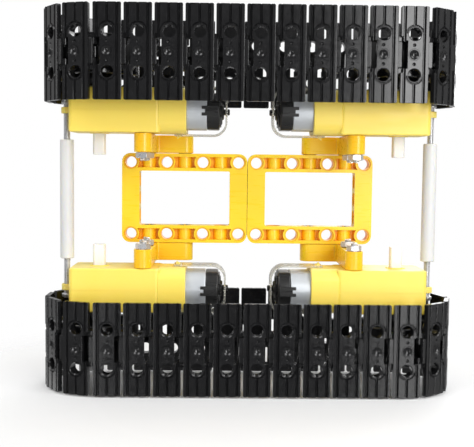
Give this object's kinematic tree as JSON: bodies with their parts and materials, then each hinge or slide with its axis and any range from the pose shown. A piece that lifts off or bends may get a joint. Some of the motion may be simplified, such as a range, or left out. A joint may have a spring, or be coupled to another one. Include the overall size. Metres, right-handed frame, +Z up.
{
  "type": "tracked robot chassis",
  "caption": "Tracked robot chassis: link tracks on toothed sprockets, each driven by a yellow gearmotor, under an open beam-frame deck.",
  "frame": {"origin": "on the ground under the middle of the chassis", "axes": "+X forward, +Y left, +Z up"},
  "size_m": [0.1714, 0.1568, 0.0509],
  "materials": {
    "beam_yellow": "smooth moulded",
    "gearbox_yellow": "smooth moulded",
    "track_black": "smooth moulded",
    "pin_black": "smooth moulded",
    "shaft_white": "smooth moulded",
    "spacer_white": "smooth moulded",
    "can_steel": "plated sheet steel",
    "screw_chrome": "plated",
    "strap_clear": "clear flexible plastic"
  },
  "bodies": {
    "chassis": {"deck_frame_front": "beam_yellow", "deck_frame_rear": "beam_yellow", "deck_pin_left": "pin_black", "deck_pin_right": "pin_black", "track_left": "track_black", "track_right": "track_black", "spacer_tube_front": "spacer_white", "spacer_tube_rear": "spacer_white", "bracket_front_left": "beam_yellow", "bracket_pin_front_left_inner": "pin_black", "bracket_pin_front_left_outer": "pin_black", "gearbox_front_left": "gearbox_yellow", "motor_front_left": "can_steel", "motor_strap_front_left": "strap_clear", "motor_screw_front_left_upper": "screw_chrome", "motor_nut_front_left_upper": "screw_chrome", "motor_screw_front_left_lower": "screw_chrome", "motor_nut_front_left_lower": "screw_chrome", "spacer_screw_front_left": "screw_chrome", "bracket_front_right": "beam_yellow", "bracket_pin_front_right_inner": "pin_black", "bracket_pin_front_right_outer": "pin_black", "gearbox_front_right": "gearbox_yellow", "motor_front_right": "can_steel", "motor_strap_front_right": "strap_clear", "motor_screw_front_right_upper": "screw_chrome", "motor_nut_front_right_upper": "screw_chrome", "motor_screw_front_right_lower": "screw_chrome", "motor_nut_front_right_lower": "screw_chrome", "spacer_screw_front_right": "screw_chrome", "bracket_rear_left": "beam_yellow", "bracket_pin_rear_left_inner": "pin_black", "bracket_pin_rear_left_outer": "pin_black", "gearbox_rear_left": "gearbox_yellow", "motor_rear_left": "can_steel", "motor_strap_rear_left": "strap_clear", "motor_screw_rear_left_upper": "screw_chrome", "motor_nut_rear_left_upper": "screw_chrome", "motor_screw_rear_left_lower": "screw_chrome", "motor_nut_rear_left_lower": "screw_chrome", "spacer_screw_rear_left": "screw_chrome", "bracket_rear_right": "beam_yellow", "bracket_pin_rear_right_inner": "pin_black", "bracket_pin_rear_right_outer": "pin_black", "gearbox_rear_right": "gearbox_yellow", "motor_rear_right": "can_steel", "motor_strap_rear_right": "strap_clear", "motor_screw_rear_right_upper": "screw_chrome", "motor_nut_rear_right_upper": "screw_chrome", "motor_screw_rear_right_lower": "screw_chrome", "motor_nut_rear_right_lower": "screw_chrome", "spacer_screw_rear_right": "screw_chrome"},
    "drive_front_left": {"drive_shaft_front_left": "shaft_white", "sprocket_front_left": "track_black"},
    "drive_front_right": {"drive_shaft_front_right": "shaft_white", "sprocket_front_right": "track_black"},
    "drive_rear_left": {"drive_shaft_rear_left": "shaft_white", "sprocket_rear_left": "track_black"},
    "drive_rear_right": {"drive_shaft_rear_right": "shaft_white", "sprocket_rear_right": "track_black"}
  },
  "joints": [
    {"name": "front_left_drive", "type": "hinge", "parent": "chassis", "child": "drive_front_left", "pos_m": [0.06303, 0.0594, 0.02298], "axis": [0, 1, 0], "continuous": true},
    {"name": "front_right_drive", "type": "hinge", "parent": "chassis", "child": "drive_front_right", "pos_m": [0.06303, -0.0594, 0.02298], "axis": [0, 1, 0], "continuous": true},
    {"name": "rear_left_drive", "type": "hinge", "parent": "chassis", "child": "drive_rear_left", "pos_m": [-0.06303, 0.0594, 0.02298], "axis": [0, 1, 0], "continuous": true},
    {"name": "rear_right_drive", "type": "hinge", "parent": "chassis", "child": "drive_rear_right", "pos_m": [-0.06303, -0.0594, 0.02298], "axis": [0, 1, 0], "continuous": true}
  ],
  "couplings": [
    {"joint": "rear_left_drive", "follows": "front_left_drive", "ratio": 1},
    {"joint": "rear_right_drive", "follows": "front_right_drive", "ratio": 1}
  ]
}
